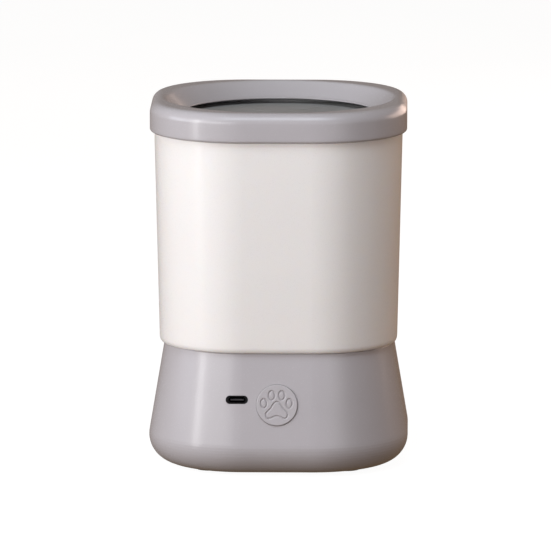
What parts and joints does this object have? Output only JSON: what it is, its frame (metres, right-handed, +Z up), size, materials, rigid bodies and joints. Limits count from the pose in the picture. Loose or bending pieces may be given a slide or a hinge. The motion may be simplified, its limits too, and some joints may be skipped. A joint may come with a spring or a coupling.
{
  "type": "paw washer cup",
  "caption": "Rounded-square pet paw washing cup: powered grey base with port and paw button, lift-off white cup, turning bristle drum, grey splash ring with a slit silicone guard.",
  "frame": {"origin": "on the floor, under the middle of the base", "axes": "+Z up the cup's axis, -Y out of the front face that carries the button and the port, +X to the right seen from the front"},
  "size_m": [0.1304, 0.1304, 0.184],
  "materials": {
    "shell_grey": "satin moulded plastic",
    "shell_grey_dark": "fine-textured moulded plastic",
    "cup_white": "soft-gloss moulded plastic",
    "silicone_grey": "matt silicone",
    "basket_grey": "satin moulded plastic",
    "dark_plastic": "matt moulded plastic",
    "foot_rubber": "matt rubber",
    "seal_rubber": "matt rubber",
    "screw_steel": "zinc plated",
    "shaft_steel": "ground",
    "motor_steel": "drawn and plated",
    "connector_steel": "stamped, black plated",
    "nickel_tab": "plain nickel strip",
    "bush_bronze": "sintered bronze",
    "pinion_brass": "machined",
    "rotor_iron": "lacquered laminations",
    "magnet_black": "sintered ferrite",
    "acetal_white": "moulded acetal",
    "board_green": "solder mask",
    "chip_black": "moulded epoxy",
    "port_black": "moulded plastic",
    "tongue_grey": "moulded plastic with contact strips",
    "cell_wrap": "shrink sleeve",
    "wire_battery": "insulated wire, one red and one black",
    "wire_motor": "insulated wire, one yellow and one blue",
    "led_lens": "clear diffusing lens"
  },
  "bodies": {
    "base": {"base_shell": "shell_grey", "bottom_cover": "shell_grey_dark", "rubber_feet": "foot_rubber", "cover_screws": "screw_steel", "battery_cell": "cell_wrap", "battery_cradle": "dark_plastic", "battery_tabs": "nickel_tab", "battery_leads": "wire_battery", "main_board": "board_green", "board_chips": "chip_black", "board_screws": "screw_steel", "usb_bezel": "port_black", "usb_shell": "connector_steel", "usb_tongue": "tongue_grey", "tact_switch": "dark_plastic", "charge_led": "led_lens", "lead_socket": "acetal_white", "motor_can": "motor_steel", "motor_end_cap": "acetal_white", "motor_magnets": "magnet_black", "motor_leads": "wire_motor", "gearbox_plate": "dark_plastic", "gearbox_cover": "dark_plastic", "gearbox_screws": "screw_steel", "motor_screws": "screw_steel", "lower_bearing": "bush_bronze", "upper_bearing": "bush_bronze", "base_shaft_seal": "seal_rubber", "idler_pin": "shaft_steel"},
    "rotor": {"motor_rotor": "rotor_iron", "motor_pinion": "pinion_brass"},
    "idler": {"idler_gear": "acetal_white"},
    "output": {"output_gear": "acetal_white", "output_shaft": "shaft_steel", "drive_dog": "dark_plastic"},
    "button": {"power_button": "shell_grey", "switch_plunger": "acetal_white"},
    "cup": {"cup_body": "cup_white", "spindle_bush": "bush_bronze", "spindle_seal": "seal_rubber"},
    "brush": {"spindle": "shaft_steel", "driven_dog": "dark_plastic", "brush_basket": "basket_grey", "brush_liner": "silicone_grey", "hub_cap": "basket_grey"},
    "ring": {"splash_ring": "shell_grey", "ring_gasket": "seal_rubber", "splash_guard": "silicone_grey"},
    "petal_1": {"guard_petal_1": "silicone_grey"},
    "petal_2": {"guard_petal_2": "silicone_grey"},
    "petal_3": {"guard_petal_3": "silicone_grey"},
    "petal_4": {"guard_petal_4": "silicone_grey"},
    "petal_5": {"guard_petal_5": "silicone_grey"},
    "petal_6": {"guard_petal_6": "silicone_grey"}
  },
  "joints": [
    {"name": "brush_spin", "type": "hinge", "parent": "cup", "child": "brush", "pos_m": [0, 0, 0.085], "axis": [0, 0, 1], "continuous": true},
    {"name": "output_spin", "type": "hinge", "parent": "base", "child": "output", "pos_m": [0, 0, 0.055], "axis": [0, 0, 1], "continuous": true},
    {"name": "idler_spin", "type": "hinge", "parent": "base", "child": "idler", "pos_m": [0.02443, 0.00889, 0.052], "axis": [0, 0, 1], "continuous": true},
    {"name": "motor_spin", "type": "hinge", "parent": "base", "child": "rotor", "pos_m": [0.02026, -0.01474, 0.03], "axis": [0, 0, 1], "continuous": true},
    {"name": "button_press", "type": "slide", "parent": "base", "child": "button", "axis": [0, 0.986, -0.1668], "range_m": [0, 0.0006], "stiffness_N_per_m": 800},
    {"name": "cup_lift", "type": "slide", "parent": "base", "child": "cup", "axis": [0, 0, 1], "range_m": [0, 0.06]},
    {"name": "ring_lift", "type": "slide", "parent": "cup", "child": "ring", "axis": [0, 0, 1], "range_m": [0, 0.04]},
    {"name": "petal_1_flex", "type": "hinge", "parent": "ring", "child": "petal_1", "pos_m": [0.036, 0.02078, 0.172], "axis": [0.5, -0.866, 0], "range_deg": [-20, 55], "stiffness_Nm_per_rad": 0.03},
    {"name": "petal_2_flex", "type": "hinge", "parent": "ring", "child": "petal_2", "pos_m": [0, 0.04157, 0.172], "axis": [1, 0, 0], "range_deg": [-20, 55], "stiffness_Nm_per_rad": 0.03},
    {"name": "petal_3_flex", "type": "hinge", "parent": "ring", "child": "petal_3", "pos_m": [-0.036, 0.02078, 0.172], "axis": [0.5, 0.866, 0], "range_deg": [-20, 55], "stiffness_Nm_per_rad": 0.03},
    {"name": "petal_4_flex", "type": "hinge", "parent": "ring", "child": "petal_4", "pos_m": [-0.036, -0.02078, 0.172], "axis": [-0.5, 0.866, 0], "range_deg": [-20, 55], "stiffness_Nm_per_rad": 0.03},
    {"name": "petal_5_flex", "type": "hinge", "parent": "ring", "child": "petal_5", "pos_m": [0, -0.04157, 0.172], "axis": [-1, 0, 0], "range_deg": [-20, 55], "stiffness_Nm_per_rad": 0.03},
    {"name": "petal_6_flex", "type": "hinge", "parent": "ring", "child": "petal_6", "pos_m": [0.036, -0.02078, 0.172], "axis": [-0.5, -0.866, 0], "range_deg": [-20, 55], "stiffness_Nm_per_rad": 0.03}
  ],
  "couplings": [
    {"joint": "output_spin", "follows": "brush_spin", "ratio": 1},
    {"joint": "idler_spin", "follows": "brush_spin", "ratio": -3.3333},
    {"joint": "motor_spin", "follows": "brush_spin", "ratio": 10}
  ]
}
